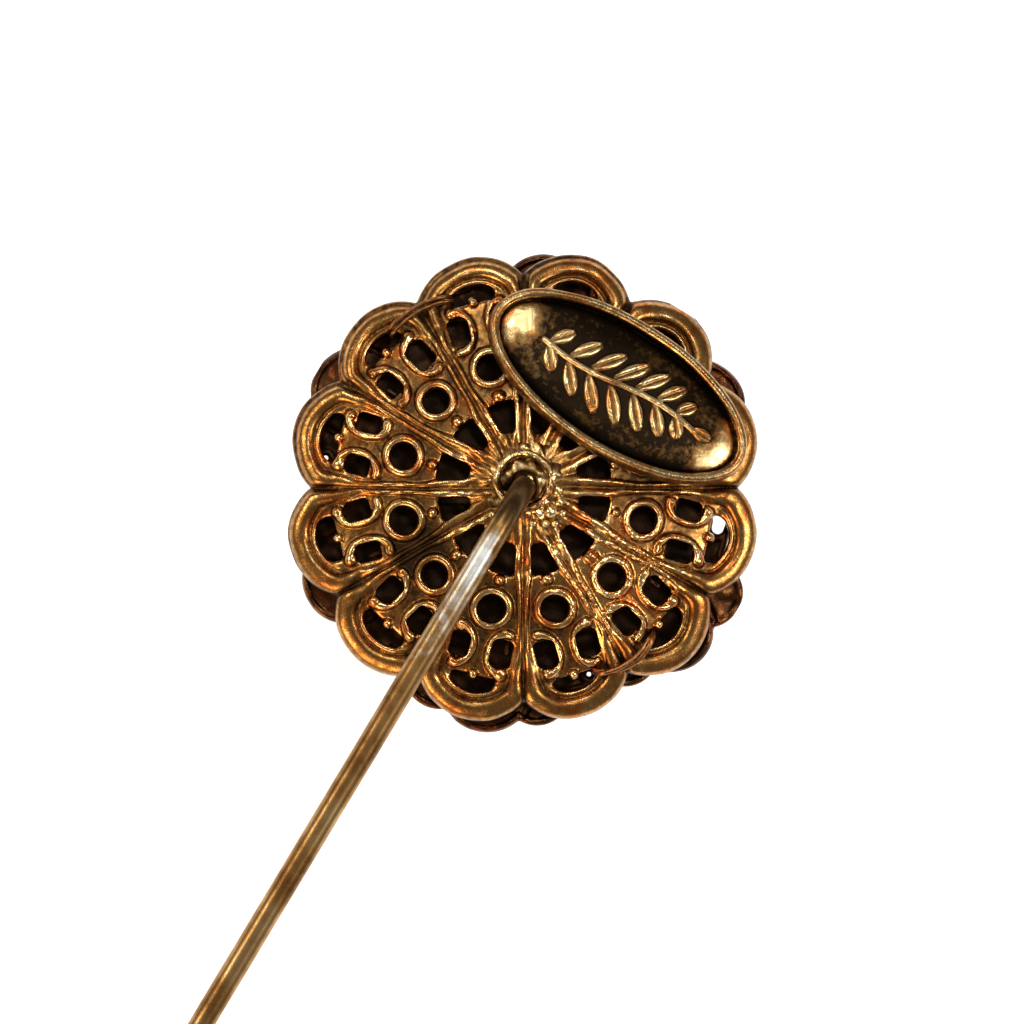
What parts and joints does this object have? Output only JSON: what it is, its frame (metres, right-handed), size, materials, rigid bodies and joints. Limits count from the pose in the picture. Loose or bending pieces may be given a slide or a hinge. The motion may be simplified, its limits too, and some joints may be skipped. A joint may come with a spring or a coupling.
{
  "type": "hat pin",
  "caption": "Hat pin with a pierced petal head, an oval back plaque, a square-bent wire stem, beads on the face and a pull-off point guard.",
  "frame": {"origin": "on the shank's axis where its straight length begins, just past the bend at the head", "axes": "+X along the shank to the point, +Z out of the back of the head, so that the beaded face looks down -Z"},
  "size_m": [0.09, 0.0208, 0.0155],
  "materials": {
    "back_brass": "antiqued stamped brass, dark in the hollows, worn bright on the edges",
    "plaque_brass": "antiqued brass with a dark field and a rubbed rim",
    "stem_brass": "drawn wire, dull olive brass",
    "boss_brass": "antiqued brass",
    "solder": "uneven plated solder",
    "fine_wire": "soft brass wire",
    "dark_brass": "dark reddish antiqued brass",
    "inner_brass": "antiqued brass",
    "pearl": "imitation pearl coat over glass",
    "stone": "clear cut glass",
    "setting": "small brass cups",
    "seed_glass": "gold-lustre glass beads",
    "guard_brass": "turned brass, lightly antiqued",
    "liner": "black rubber"
  },
  "bodies": {
    "pin": {"back_filigree": "back_brass", "bead_carrier": "inner_brass", "boss_solder": "solder", "centre_cap": "inner_brass", "centre_headpin": "fine_wire", "centre_pearl": "pearl", "flower_rosette": "dark_brass", "oval_plaque": "plaque_brass", "pearl_ring_wire": "fine_wire", "pin_stem": "stem_brass", "plaque_solder": "solder", "rhinestone_1": "stone", "rhinestone_2": "stone", "rhinestone_3": "stone", "rhinestone_4": "stone", "rhinestone_5": "stone", "rhinestone_6": "stone", "ring_lashings": "fine_wire", "ring_pearl_01": "pearl", "ring_pearl_02": "pearl", "ring_pearl_03": "pearl", "ring_pearl_04": "pearl", "ring_pearl_05": "pearl", "ring_pearl_06": "pearl", "ring_pearl_07": "pearl", "ring_pearl_08": "pearl", "ring_pearl_09": "pearl", "ring_pearl_10": "pearl", "ring_pearl_11": "pearl", "ring_pearl_12": "pearl", "seed_bead_1": "seed_glass", "seed_bead_2": "seed_glass", "seed_bead_3": "seed_glass", "seed_bead_4": "seed_glass", "seed_bead_5": "seed_glass", "seed_bead_6": "seed_glass", "seed_wire": "fine_wire", "stem_boss": "boss_brass", "stone_setting_1": "setting", "stone_setting_2": "setting", "stone_setting_3": "setting", "stone_setting_4": "setting", "stone_setting_5": "setting", "stone_setting_6": "setting", "tie_wire_lower": "fine_wire", "tie_wire_upper": "fine_wire"},
    "guard": {"guard_barrel": "guard_brass", "guard_collar": "guard_brass", "guard_liner": "liner"}
  },
  "joints": [
    {"name": "guard_pull", "type": "slide", "parent": "pin", "child": "guard", "axis": [1, 0, 0], "range_m": [0, 0.05]}
  ]
}
